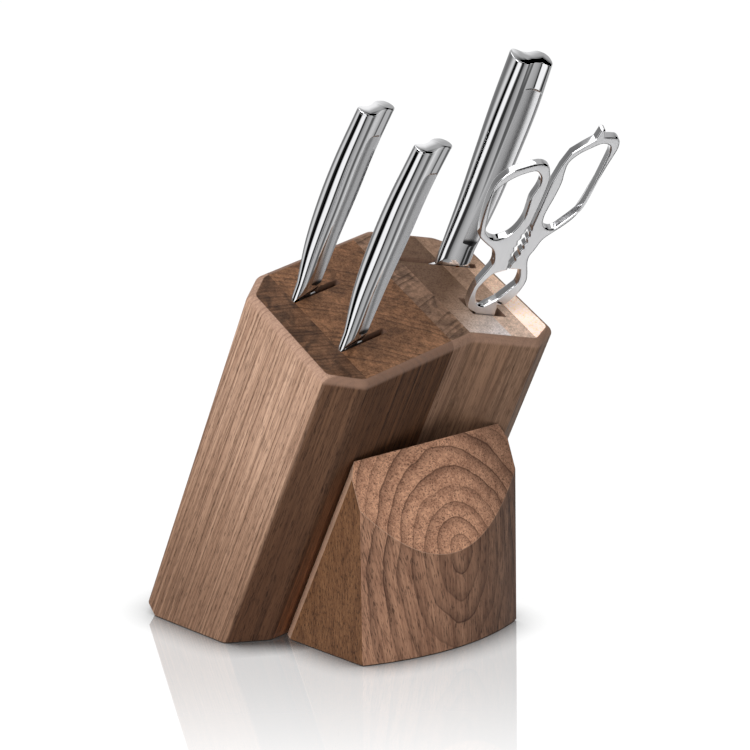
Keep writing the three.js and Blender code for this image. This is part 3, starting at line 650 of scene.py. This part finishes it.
BOLSTER = 11.0
CAP = 1.6
LEAN_IN = 25
PANEL_TO_BUTT = 15.5
PANEL_END = 6
HEEL_DROP = 9
knives = {
    "front_knife": dict(slot=(small_kerf_x, FRONT_KERF_BACK, LEFT_SWEEP), turned=False,
                        handle=110.7, thin=1.8, slope=0.3, rise=0.09, panel=3.5, slant=-0.18,
                        at=(8.2, 6.2, 7.1, 9.4, 14.6), width=(18, 22.4, 25.4, 26.4, 26.8),
                        thick=(5.8, 9.4, 11.2, 10.8, 10)),
    "back_knife": dict(slot=(small_kerf_x, BACK_KERF_BACK, LEFT_SWEEP), turned=False,
                       handle=105.2, thin=1.8, slope=0.3, rise=0.09, panel=3.5, slant=-0.16,
                       at=(8.1, 5.8, 5.9, 7.2, 11), width=(18, 22, 24.6, 25.2, 25.4),
                       thick=(5.8, 9.4, 11.2, 10.8, 10)),
    "chef_knife": dict(slot=(chef_kerf_x, CHEF_KERF_BACK, -RIGHT_SWEEP), turned=True,
                       handle=120.1, thin=2.2, slope=0.33, rise=0, panel=11.5, slant=0.08,
                       at=(13.4, 12.4, 12.5, 12.9, 13.8), width=(18.5, 21.2, 23.1, 24.2, 22.8),
                       thick=(6, 8.3, 10.4, 12.4, 14)),
}
LOBE_AND_FLUTE = [(0, 0), (0.02, 0.42), (0.1, 0.84), (0.24, 1), (0.36, 0.93), (0.52, 0.62),
                  (0.7, 0.5), (0.83, 0.64), (0.92, 0.66), (0.985, 0.36), (1, 0)]


def spline(points, per_span):
    """A smooth curve through points, which may be tuples of any one length."""
    ends = [tuple(2 * a - b for a, b in zip(points[0], points[1])), *points,
            tuple(2 * a - b for a, b in zip(points[-1], points[-2]))]
    curve = []
    for p, q, r, s in zip(ends, ends[1:], ends[2:], ends[3:]):
        for i in range(per_span):
            t = i / per_span
            curve.append(tuple(0.5 * (2 * b + (c - a) * t + (2 * a - 5 * b + 4 * c - d) * t * t
                                      + (3 * b - a - 3 * c + d) * t ** 3)
                               for a, b, c, d in zip(p, q, r, s)))
    return curve + [points[-1]]


def through(values, share):
    """A smooth run through values spread evenly over the handle's length."""
    place = min(max(share, 0), 1) * (len(values) - 1)
    i = min(int(place), len(values) - 2)
    t = place - i
    a, b, c, d = (2 * values[0] - values[1], *values, 2 * values[-1] - values[-2])[i:i + 4]
    return 0.5 * (2 * b + (c - a) * t + (2 * a - 5 * b + 4 * c - d) * t * t
                  + (3 * b - a - 3 * c + d) * t ** 3)


half_section = spline(LOBE_AND_FLUTE, 5)[:-1]


def handle_ring(at, width, thick, height, slant=0.0, shrink=0.0):
    """The handle's section at a height: a full lobe toward the spine, a flute beside it."""
    front = [(at - width / 2 + u * width, -v * thick / 2) for u, v in half_section]
    back = [(at - width / 2 + (1 - u) * width, v * thick / 2) for u, v in half_section]
    ring = [Vector((x, y, height + slant * (x - at))) for x, y in front + back]
    if shrink:
        centre = Vector((at, 0, 0))
        ring = [Vector((centre.x + (p.x - at) * (1 - 2 * shrink / width),
                        p.y * (1 - 2 * shrink / thick), p.z)) for p in ring]
    return ring


def knife_size(knife, height):
    """A handle's centre, width and thickness at a height above the block's top."""
    share = (height - BOLSTER) / knife["handle"]
    return [through(knife[key], share) for key in ("at", "width", "thick")]


def raised(normal):
    """Faces that run along a knife are buffed so that they tip a little toward the butt."""
    run = normal.dot(along_block)
    tip = (1 - (run * run).ramp(0.04, 0.1)) * (0.32 - run)
    return (normal + vector(tip * along_block.x, tip * along_block.y,
                            tip * along_block.z)).maths("NORMALIZE")


def mirror_steel(name, tipped=False):
    """Stainless steel polished to a mirror, with the finest of wiping marks."""
    material, place, normal = finish_of(name, metallic=1.0)
    haze = (place * 60).noise(1.0, 2)
    wipes = vector(place.dot(across_block * 1800), place.dot(deep_block * 1800),
                   place.dot(along_block * 40)).noise(1.0, 2)
    colour = haze.blend(srgb(226, 226, 227), srgb(214, 214, 216))
    return finished(material, place, colour, 0.05 + wipes.ramp(0.5, 0.9) * 0.02,
                    facing=raised(normal) if tipped else None)


def satin_steel(name, tone, rough, tipped=False, cup=None):
    """Stainless steel brushed to a satin, lengthwise.

    cup is the height above the block's top of a panel's lower end, which is scooped, with painted
    shade darkening the scoop.
    """
    material, place, normal = finish_of(name, metallic=1.0)
    lines = vector(place.dot(across_block * 6000), place.dot(deep_block * 6000),
                   place.dot(along_block * 160)).noise(1.0, 3)
    colour = lines.blend(srgb(tone + 6, tone + 6, tone + 7), srgb(tone - 8, tone - 8, tone - 6))
    if cup:
        height = (place.dot(along_block) - block_foot.dot(along_block)) / MM - BLOCK_LENGTH - cup
        shadow = 1 - height.ramp(0.6, 2.4) * (1 - height.ramp(4.5, 7)) * 0.94
        colour = colour.shaded(shadow, shadow, shadow)
    return finished(material, place, colour, rough - 0.04 + lines * 0.08, lines, 0.0015,
                    raised(normal) if tipped else None)


mirror = mirror_steel("mirror_steel")
handle_mirror = mirror_steel("handle_mirror", True)
satins = {name: satin_steel(name + "_satin", 216, 0.28, True, knife["panel"])
          for name, knife in knives.items()}
blade_satin = satin_steel("blade_satin", 200, 0.3)
# A dark steel for one edge of each sunk panel: a painted shadow line along the step.
shadow_line_steel = satin_steel("shadow_line_steel", 84, 0.3)


def knife_frame(knife):
    """A knife's own axes: across its kerf, out of its flat side, and up the handle."""
    x, back, turn = knife["slot"]
    axes = block_axes @ Matrix.Translation((x, back, BLOCK_LENGTH)) @ Matrix.Rotation(turn, 4, "Z")
    if knife["turned"]:
        axes = axes @ Matrix.Translation((CHEF_KERF, 0, 0)) @ Matrix.Rotation(math.pi, 4, "Z")
    return axes


def panel_tool(of, knife, axes, side):
    """The cutter of the sunk panel: round at both ends, with a hollow-ground floor."""
    bottom = knife["panel"]
    top = BOLSTER + knife["handle"] - PANEL_TO_BUTT
    bm = bmesh.new()
    rings = []
    ends = [i / 2 for i in range(2 * PANEL_END + 1)]
    middle_run = top - bottom - 2 * PANEL_END
    steps = ([bottom + i for i in ends]
             + [bottom + PANEL_END + middle_run * i / 30 for i in range(1, 30)]
             + [top - i for i in ends[::-1]])
    for height in steps:
        at, width, thick = knife_size(knife, height)
        middle = at - side * width * 0.21
        ease = min(1, (height - bottom) / PANEL_END, (top - height) / 4)
        half = width * 0.2 * (math.sqrt(max(0.0, 1 - (1 - ease) ** 2)) * 0.999 + 0.001)
        scoop = 1 - min(1, (height - bottom) / 5, (top - height) / 4)
        scoop = 0.34 * (1 - math.sqrt(1 - scoop ** 2))
        deep = max(1.3, thick * 0.12) + thick * scoop
        floor = [Vector((middle + half * u, side * (deep + thick * 0.09 * u ** 2), height))
                 for u in (-1, -0.93, -0.75, -0.5, -0.25, 0, 0.25, 0.5, 0.75, 0.93, 1)]
        rings.append(floor + [Vector((middle + half, side * 9, height)),
                              Vector((middle - half, side * 9, height))])
    loft(bm, rings)
    sides = len(rings[0])
    # One wall of each panel and the floor strip beside it take the dark steel, a painted shadow
    # line.
    shadow_line_sides = (0, sides - 1) if side < 0 else (sides - 4, sides - 3)
    for i, face in enumerate(bm.faces):
        face.material_index = int(i % sides in shadow_line_sides and i < sides * (len(rings) - 1))
    return made("cutter", bm, axes, [satins[of], shadow_line_steel], 40)


for name, knife in knives.items():
    axes = knife_frame(knife)
    top = BOLSTER + knife["handle"]

    # Bolster: the handle's own section, cut back to the blade on both sides by a flat.
    bm = bmesh.new()
    rings = []
    for i in range(13):
        height = -0.4 + (BOLSTER - GLUE + 0.4) * i / 12
        at, width, thick = knife_size(knife, max(height, 0))
        rings.append(handle_ring(at, width, thick, height))
    loft(bm, rings)
    for side in (-1, 1):
        normal = Vector((knife["rise"], side, -knife["slope"])).normalized()
        sliced(bm, Vector((0, side * knife["thin"] * 0.6, 0)), normal)
    sliced(bm, Vector((0, 0, 0.02)), Vector((0, 0, -1)))
    bolster = made(name + "_bolster_steel", bm, axes, [handle_mirror], 32)

    # Handle, with its sunk panels.
    bm = bmesh.new()
    rings = []
    for i in range(61):
        height = BOLSTER + (top - CAP - BOLSTER) * i / 60
        at, width, thick = knife_size(knife, height)
        lean_in = min(1, max(0, 1 - (top - CAP - height) / LEAN_IN)) ** 2
        rings.append(handle_ring(at, width, thick, height, knife["slant"] * lean_in))
    loft(bm, rings)
    handle = made(name + "_handle_steel", bm, axes, [handle_mirror], 32)
    for piece in (bolster, handle):
        carved(piece, [panel_tool(name, knife, axes, side) for side in (-1, 1)])
    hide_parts(name + "_bolster")
    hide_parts(name + "_handle")

    # Butt cap, its edge eased and its face a little domed.
    bm = bmesh.new()
    rings = []
    at, width, thick = knife_size(knife, top)
    for lift, shrink in ((-CAP + GLUE, 0), (-0.8, 0), (-0.57, 0.06), (-0.37, 0.25), (-0.27, 0.6)):
        rings.append(handle_ring(at, width, thick, top + lift, knife["slant"], shrink))
    loft(bm, rings)
    cap = made(name + "_cap_steel", bm, axes, [handle_mirror], 50)
    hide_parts(name + "_cap")

    # Steel is left out of the other pieces' reflections, which would break up the bands on it.
    for thing in (bolster, handle, cap):
        thing.visible_glossy = False
        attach(thing, name)

    # Blade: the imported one, with its heel sloped away under the bolster.
    node = frame["nodes"][name + "_blade"]
    bm = bmesh.new()
    bm.from_mesh(node.data)
    bmesh.ops.transform(bm, matrix=axes.inverted() @ node.matrix_world, verts=bm.verts)
    far = max(v.co.x for v in bm.verts) + 1
    blade = made(name + "_blade_steel", bm, axes, [blade_satin])
    at, width, thick = knife_size(knife, 0)
    near = at + width / 2 - 0.5
    bm = bmesh.new()
    loft(bm, [[Vector((near, n, 0.5)), Vector((near, n, -0.3)), Vector((far, n, -HEEL_DROP)),
               Vector((far, n, 0.5))] for n in (-3, 3)])
    carved(blade, [made("cutter", bm, axes, [blade_satin])])
    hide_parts(name + "_blade")
    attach(blade, name)

# ------------------------------------------------------------------------------------------------
# The shears: two forged steel halves on one pivot screw, with a finger loop each, toothed jaws
# for nuts between the loops and an opener hook below.  Faces are satin, edges are polished.
# The halves are drawn down to the lap at the pivot only: their blades aren't drawn.

SHEAR_THICK = 5.3
SHEAR_INSET = 0.75
SHEAR_OFF_WALL = 0.4
LAP_LOW = -7.4
LAP_CENTRE = (8.2, -9.4)
LAP_RADIUS = 16.8
LAP_GAP = 0.05
RIM_ROUND = 1.0
shear_front = (SHEAR_SLOT_FRONT + (SHEAR_OFF_WALL + SHEAR_THICK / 2) / math.cos(RIGHT_SWEEP)
               - SHEAR_INSET * math.tan(RIGHT_SWEEP))
shear_axes = (block_axes
              @ Matrix.Translation((SHEAR_SLOT_LEFT + SHEAR_INSET, shear_front, BLOCK_LENGTH))
              @ Matrix.Rotation(-RIGHT_SWEEP, 4, "Z"))
left_outer = [(11.9, 90), (9.9, 94), (4.5, 95.3), (-3.7, 91.5), (-8, 88.8), (-10.8, 85.8),
              (-13.6, 80.6), (-14.6, 73.8), (-14.4, 65), (-13.7, 56.2), (-12.6, 50), (-11.4, 47),
              (-6.3, 43.1), (-2.9, 40.8), (-0.9, 37.9), (0.4, 33.5), (0.1, 29.9), (-2.1, 23.7),
              (-4, 18), (-4.9, 11.9), (-4.8, 7.3), (-3.6, 2.9), (1.1, 0.3)]
left_arm = [(6.4, 5.4), (3.4, 5.1), (1.2, 5.8), (-0.3, 7.9), (-1.5, 11.4), (-1.7, 15.5),
            (0, 19.8), (2.6, 24.7), (5.3, 26.8), (9.4, 28.7)]
left_hole = [(4.3, 90.3), (7.5, 87.6), (8.5, 83.8), (8.1, 79.3), (6.9, 73.8), (7.2, 68.5),
             (7.4, 61.4), (5.8, 54.9), (2.8, 50.1), (-1.6, 47.3), (-5.4, 47.3), (-8.5, 49.6),
             (-10, 53), (-11.8, 65.3), (-12.4, 75), (-9.2, 81.1), (-4.7, 85.7), (0.3, 88.9)]
right_outer = [(32.4, 115.4), (36.4, 115.9), (39.1, 115.6), (41.1, 113.3), (41.5, 108.3),
               (39.7, 98.3), (37.4, 83), (35.5, 71.1), (33.1, 64.6), (29, 58.7), (24.6, 53.6),
               (21.5, 49.2), (19.8, 43.1), (18.3, 38.4), (18.9, 33.9), (21, 27.8), (21.9, 23.3),
               (21.2, 18.6), (19.3, 12.9), (15.9, 7)]
right_arm = [(10, 9.8), (12.7, 14), (15.3, 17.9), (17, 20.9), (17, 25.5), (15.8, 29.8)]
right_hole = [(32.8, 111.1), (36.6, 110.3), (37.8, 106.9), (37.7, 101.6), (36.5, 85.5),
              (34.9, 72.8), (32.2, 67.1), (28.1, 61.3), (24.9, 57.3), (21.2, 56.8), (18.7, 59.2),
              (17.7, 63.6), (18.2, 69.9), (19.1, 76.2), (19.8, 85.2), (19.2, 91.3), (19.3, 97.5),
              (22.7, 103.2), (28.5, 108.3)]


JAW_TEETH = 7
TOOTH_DEPTH = 0.5


def jaw(side, low, high, reach):
    """The toothed edge of a jaw, bulging by reach between its low and high end."""
    edge = []
    for i in range(JAW_TEETH * 4 + 1):
        share = i / (JAW_TEETH * 4)
        wave = math.sin(2 * math.pi * JAW_TEETH * share)
        swell = math.sin(math.pi * share)
        bulge = side * (reach + TOOTH_DEPTH * wave) * swell
        edge.append((low[0] + (high[0] - low[0]) * share + bulge,
                     low[1] + (high[1] - low[1]) * share))
    return edge


def ring_of(points):
    """A smooth closed curve through points."""
    count = len(points)
    whole_turn = spline([points[(i - 2) % count] for i in range(count + 4)], 4)
    return whole_turn[2 * 4:(count + 2) * 4]


def bevelled_plate(name, outlines, front, back, ease, materials):
    """A plate drawn across and up, its edges rounded; the flat faces take the first material."""
    curve = bpy.data.curves.new(name, "CURVE")
    curve.dimensions = "2D"
    curve.fill_mode = "BOTH"
    for outline in outlines:
        line = curve.splines.new("POLY")
        line.points.add(len(outline) - 1)
        for point, (x, z) in zip(line.points, outline):
            point.co = (x, z, 0, 1)
        line.use_cyclic_u = True
    curve.extrude = (back - front) / 2 - ease
    curve.bevel_depth = ease
    curve.bevel_resolution = 3
    curve.offset = -ease
    drawn = bpy.data.objects.new(name, curve)
    bpy.context.scene.collection.objects.link(drawn)
    bpy.context.view_layer.update()
    mesh = bpy.data.meshes.new_from_object(
        drawn.evaluated_get(bpy.context.evaluated_depsgraph_get()))
    bpy.data.objects.remove(drawn)
    bm = bmesh.new()
    bm.from_mesh(mesh)
    bmesh.ops.remove_doubles(bm, verts=bm.verts, dist=0.001)
    stand = Matrix.Translation((0, (front + back) / 2, 0)) @ Matrix.Rotation(math.pi / 2, 4, "X")
    bmesh.ops.transform(bm, matrix=stand, verts=bm.verts)
    bm.normal_update()
    for face in bm.faces:
        face.material_index = 0 if abs(face.normal.y) > 0.98 else len(materials) - 1
    return made(name, bm, shear_axes, materials, 40)


def lap_tool(front, back):
    """The round cutter that thins a half where the other one laps it."""
    x, z = LAP_CENTRE
    bm = bmesh.new()
    rings = [[Vector((x + LAP_RADIUS * math.cos(a * math.pi / 24), y,
                      z + LAP_RADIUS * math.sin(a * math.pi / 24))) for a in range(48)]
             for y in (front, back)]
    loft(bm, rings)
    return made("cutter", bm, shear_axes, [mirror])


shear_satin = satin_steel("shears_satin", 236, 0.36)
jaw_low = (9.5, 29.6)
jaw_high = (12.3, 58.4)
left_line = (spline(left_outer, 4) + [(1.1, LAP_LOW), (15.2, LAP_LOW), (12.4, -3), (7.4, 3.6)]
             + spline(left_arm, 4) + jaw(-1, jaw_low, jaw_high, 1.7)
             + [(12.7, 66), (13.2, 76), (13.2, 84), (12.8, 88)])
right_line = (spline(right_outer, 4) + [(13.4, 7.3), (11.4, 8.4), (12.2, 4), (12.6, 0),
              (15, LAP_LOW), (1.4, LAP_LOW), (2.4, 0), (4, 4.6)] + spline(right_arm, 4)
              + jaw(1, (jaw_low[0] + 0.3, jaw_low[1]), (jaw_high[0] + 1, jaw_high[1]), 1.4)
              + [(14.2, 84), (16, 95), (18.6, 103.6), (23.6, 109), (28, 113.2)]
              + [(28.6, 116.4), (29.1, 118.9), (30.1, 119.7), (31.3, 119.2), (31.9, 117.4)])
half = SHEAR_THICK / 2
left = bevelled_plate("shears_left_steel", [left_line, ring_of(left_hole)], -half, half,
                      RIM_ROUND, [shear_satin, mirror])
right = bevelled_plate("shears_right_steel", [right_line, ring_of(right_hole)], -half, half,
                       RIM_ROUND, [shear_satin, mirror])
carved(left, [lap_tool(-LAP_GAP, 8)])
carved(right, [lap_tool(-8, LAP_GAP)])
even_faces(left)
even_faces(right)
for thing, body in ((left, "shears"), (right, "shears_arm")):
    thing.visible_glossy = False
    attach(thing, body)
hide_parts("shears_left")
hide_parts("shears_right")
for name in ("shears_pivot", "shears_nut"):
    frame["nodes"][name].data.materials.clear()
    frame["nodes"][name].data.materials.append(mirror)

# ------------------------------------------------------------------------------------------------
# The room: a pale glossy table top in a white studio, a soft key lamp on the left, a weaker one
# overhead, and dark and light screens round the product that only the polished steel sees.

camera_at = block_foot + Vector((-1.40174, -1.62870, 0.72329))
azimuth = math.radians(-40.843)
elevation = math.radians(15.653)
roll = math.radians(-0.873)
look = Vector((-math.sin(azimuth) * math.cos(elevation), math.cos(azimuth) * math.cos(elevation),
               -math.sin(elevation)))
right_hand = Vector((math.cos(azimuth), math.sin(azimuth), 0))
upward = right_hand.cross(look)
turned_right = right_hand * math.cos(roll) + upward * math.sin(roll)
turned_up = upward * math.cos(roll) - right_hand * math.sin(roll)
lens = bpy.data.cameras.new("camera")
lens.lens = 208.35
lens.sensor_width = 36
lens.shift_x = -0.00093
lens.shift_y = -0.00052
lens.clip_end = 20
camera = bpy.data.objects.new("camera", lens)
camera.matrix_world = Matrix((
    (turned_right.x, turned_up.x, -look.x, camera_at.x),
    (turned_right.y, turned_up.y, -look.y, camera_at.y),
    (turned_right.z, turned_up.z, -look.z, camera_at.z), (0, 0, 0, 1)))
bpy.context.scene.collection.objects.link(camera)
bpy.context.scene.camera = camera

# The table top reflects the product, less so further off, and glows white for the camera except
# where they touch: there a painted contact shadow, taken from the occlusion, darkens it.
bm = bmesh.new()
bmesh.ops.create_grid(bm, x_segments=1, y_segments=1, size=6)
mesh = bpy.data.meshes.new("table_top")
bm.to_mesh(mesh)
bm.free()
floor = bpy.data.objects.new("table_top", mesh)
floor.visible_glossy = False
bpy.context.scene.collection.objects.link(floor)
material, place = finish_of("pale_table")[:2]
tree = material.node_tree
shader = tree.nodes["Principled BSDF"]
shader.inputs["Base Color"].default_value = (0.12, 0.12, 0.12, 1)
shader.inputs["Roughness"].default_value = 0.8
shader.inputs["Specular IOR Level"].default_value = 0
shader.inputs["Emission Strength"].default_value = 1.0
viewer = -look.copy()
viewer.z = 0
viewer.normalize()
nearness = (place.dot(viewer) - block_foot.dot(viewer)) / MM
gloss = 1 - nearness.ramp(80, 330) * 0.8
touch = place.node("ShaderNodeAmbientOcclusion", {"samples": 8}, {"Distance": 0.022}, "AO")
glow = touch.ramp(0.4, 0.98, False) * (1.05 - gloss * 0.15)
tree.links.new(vector(glow, glow, glow).socket, shader.inputs["Emission Color"])
gleam = place.node("ShaderNodeBsdfAnisotropic", None,
                   {"Color": (0.96, 0.96, 0.96, 1), "Roughness": 0.03})
lit = place.node("ShaderNodeMixShader", None, {0: gloss * 0.36, 1: Shade(tree, shader.outputs[0]),
                                               2: gleam})
pale = place.node("ShaderNodeBsdfDiffuse", None, {"Color": (0.8, 0.8, 0.8, 1)})
path = tree.nodes.new("ShaderNodeLightPath")
mix = place.node("ShaderNodeMixShader", None,
                 {0: Shade(tree, path.outputs["Is Camera Ray"]), 1: pale, 2: lit})
tree.links.new(mix.socket, tree.nodes["Material Output"].inputs["Surface"])
floor.data.materials.append(material)

# Round the block's length the screens are, in degrees from the right and in brightness:
screens = [(-180, 0), (-162, 0), (-155, 0.3), (-147, 1.2), (-120, 1.3), (-116, 0.4), (-113, 0.03),
           (-101, 0.04), (-95, 0.3), (-87, 0.38), (-76, 0.5), (-52, 0.62), (-47, 0.15),
           (-36, 0.12), (-30, 0.45), (-15, 0.7), (7, 0.9), (18, 0.5), (36, 0.5), (43, 1.15),
           (62, 1.15), (75, 0.8), (88, 0.35), (113, 0.2), (126, 0.24), (140, 0.45), (152, 0.85),
           (160, 0.9), (167, 0.5), (174, 0.03), (180, 0)]
SCREEN_SCALE = 2
SOFT_LIGHT = 0.45
world = bpy.data.worlds.new("studio")
bpy.context.scene.world = world
world.use_nodes = True
tree = world.node_tree
back = tree.nodes["Background"]
path = tree.nodes.new("ShaderNodeLightPath")
toward = Shade(tree, tree.nodes.new("ShaderNodeTexCoord").outputs["Generated"])
side_on = toward.dot(deep_block).maths("ARCTAN2", toward.dot(across_block)) / (2 * math.pi) + 0.5
bands = side_on.node("ShaderNodeValToRGB", {
    "stops": [((turn + 180) / 360, (level / SCREEN_SCALE,) * 3) for turn, level in screens]},
    {"Fac": side_on}) * SCREEN_SCALE
bands = bands.dot((1 / 3, 1 / 3, 1 / 3))
rise = toward.dot(along_block)

# Low down there is one bright panel, which the shears' flat faces mirror, with a dark ring round
# it.  Overhead it is half light, and dark toward the right front except at the very top.
facing_shears = toward.dot(across_block * 0.0285 - deep_block * 0.8155 - along_block * 0.578)
panel = facing_shears.ramp(0.94, 0.985) * 1.1
ring = panel + (1 - facing_shears.ramp(0.2, 0.45)) * bands + 0.05
bands = bands + (ring - bands) * (1 - rise.ramp(-0.5, -0.42))
above = rise.ramp(0.25, 0.5)
dim = toward.dot((0.45, -0.85, 0)).ramp(0.05, 0.4) * 0.88 * (1 - rise.ramp(0.68, 0.84))
high = 1 - rise.ramp(0.1, 0.3) * 0.45
seen = bands + (high - dim - bands) * above
camera_ray = Shade(tree, path.outputs["Is Camera Ray"])
glossy_ray = Shade(tree, path.outputs["Is Glossy Ray"])
strength = camera_ray + glossy_ray * seen + (1 - camera_ray) * (1 - glossy_ray) * SOFT_LIGHT
tree.links.new(strength.socket, back.inputs["Strength"])
back.inputs["Color"].default_value = (1, 1, 1, 1)


def lamp(name, where, size, power, target=(0, 0, 0.12)):
    light = bpy.data.lights.new(name, "AREA")
    light.shape = "RECTANGLE"
    light.size, light.size_y = size
    light.energy = power
    thing = bpy.data.objects.new(name, light)
    thing.location = where
    thing.rotation_euler = (Vector(target) - Vector(where)).to_track_quat("-Z", "Y").to_euler()
    bpy.context.scene.collection.objects.link(thing)
    return thing


lamp("key_lamp", (-0.68, -0.32, 0.6), (0.5, 0.5), 5.6)
lamp("top_lamp", (-0.3, 0.6, 2.2), (1.6, 1.2), 9)

bpy.context.scene.view_settings.view_transform = "Standard"
